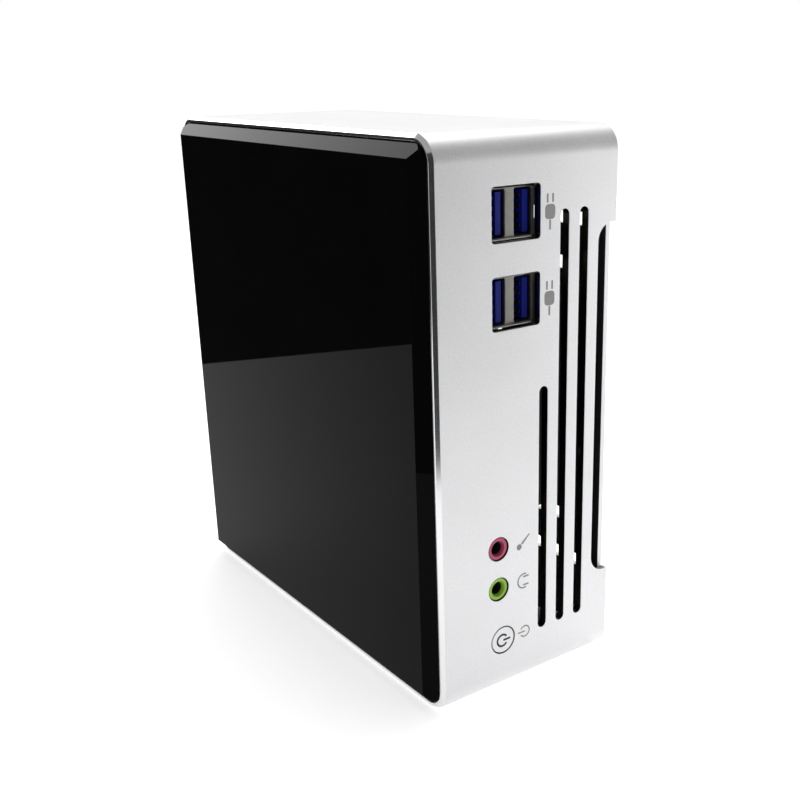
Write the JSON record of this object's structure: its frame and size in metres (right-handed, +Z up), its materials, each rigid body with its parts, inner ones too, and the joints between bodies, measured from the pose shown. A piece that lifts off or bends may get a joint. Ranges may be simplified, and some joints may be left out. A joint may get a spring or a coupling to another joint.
{
  "type": "mini desktop computer",
  "caption": "Small upright computer: a bead-blasted aluminium shell with a bevelled black glass panel, side ports, vent slots and a slotted back cover.",
  "frame": {"origin": "middle of the footprint, on the plane that the upright case stands on", "axes": "+Z up along the longest side, +Y from the glass panel to the back cover, +X to the port side with the power button"},
  "size_m": [0.142, 0.0656, 0.155],
  "materials": {
    "shell": "bead-blasted and silver-anodised, fine matt grain",
    "cover": "bead-blasted and silver-anodised sheet",
    "glass": "polished, black-backed, opaque",
    "adhesive": "thin foam tape",
    "tray": "moulded, fine texture",
    "screw_steel": "nickel-plated",
    "foot_rubber": "matt",
    "board": "solder-masked laminate",
    "brass": "machined",
    "port_steel": "tin-plated sheet",
    "port_blue": "moulded",
    "port_black": "moulded",
    "jack_pink": "moulded",
    "jack_green": "moulded",
    "button": "bead-blasted cap with a dark printed mark",
    "heatsink": "extruded, bare",
    "chip": "moulded epoxy on laminate",
    "cell": "nickel-plated can",
    "antenna": "etched foil on film",
    "lead": "insulated lead"
  },
  "bodies": {
    "case": {"shell": "shell", "back_cover": "cover", "glass_panel": "glass", "panel_adhesive": "adhesive", "panel_tray": "tray", "mainboard": "board", "usb_1_shell": "port_steel", "usb_2_shell": "port_steel", "rear_usb_shell": "port_steel", "usb_1_tongues": "port_blue", "usb_2_tongues": "port_blue", "rear_usb_tongues": "port_black", "microphone_jack": "jack_pink", "headphone_jack": "jack_green", "power_switch": "port_black", "power_inlet": "port_black", "video_port_1": "port_steel", "video_port_2": "port_steel", "network_jack": "port_steel", "processor": "chip", "heatsink": "heatsink", "fan_frame": "tray", "memory_socket": "port_black", "memory_module": "board", "drive_card": "board", "drive_screw": "screw_steel", "wireless_card": "board", "coin_cell": "cell", "antenna_1": "antenna", "antenna_2": "antenna", "antenna_lead_1": "lead", "antenna_lead_2": "lead", "fan_lead": "lead", "cover_screw_1": "screw_steel", "rubber_foot_1": "foot_rubber", "standoff_1": "brass", "board_screw_1": "screw_steel", "heatsink_screw_1": "screw_steel", "cover_screw_2": "screw_steel", "rubber_foot_2": "foot_rubber", "standoff_2": "brass", "board_screw_2": "screw_steel", "heatsink_screw_2": "screw_steel", "cover_screw_3": "screw_steel", "rubber_foot_3": "foot_rubber", "standoff_3": "brass", "board_screw_3": "screw_steel", "heatsink_screw_3": "screw_steel", "cover_screw_4": "screw_steel", "rubber_foot_4": "foot_rubber", "standoff_4": "brass", "board_screw_4": "screw_steel", "heatsink_screw_4": "screw_steel", "fan_screw_1": "screw_steel", "fan_screw_2": "screw_steel"},
    "button": {"power_button": "button", "switch_plunger": "port_black"},
    "rotor": {"fan_rotor": "tray"},
    "latch_1": {"memory_latch_1": "port_steel"},
    "latch_2": {"memory_latch_2": "port_steel"}
  },
  "joints": [
    {"name": "button_press", "type": "slide", "parent": "case", "child": "button", "axis": [-1, 0, 0], "range_m": [0, 0.0006], "stiffness_N_per_m": 400},
    {"name": "fan_spin", "type": "hinge", "parent": "case", "child": "rotor", "pos_m": [0.018, 0.0125, 0.0775], "axis": [0, 1, 0], "continuous": true},
    {"name": "latch_1_spread", "type": "hinge", "parent": "case", "child": "latch_1", "pos_m": [-0.043, -0.0098, 0.035], "axis": [0, 1, 0], "range_deg": [0, 8], "stiffness_Nm_per_rad": 0.3},
    {"name": "latch_2_spread", "type": "hinge", "parent": "case", "child": "latch_2", "pos_m": [0.027, -0.0098, 0.035], "axis": [0, -1, 0], "range_deg": [0, 8], "stiffness_Nm_per_rad": 0.3}
  ]
}
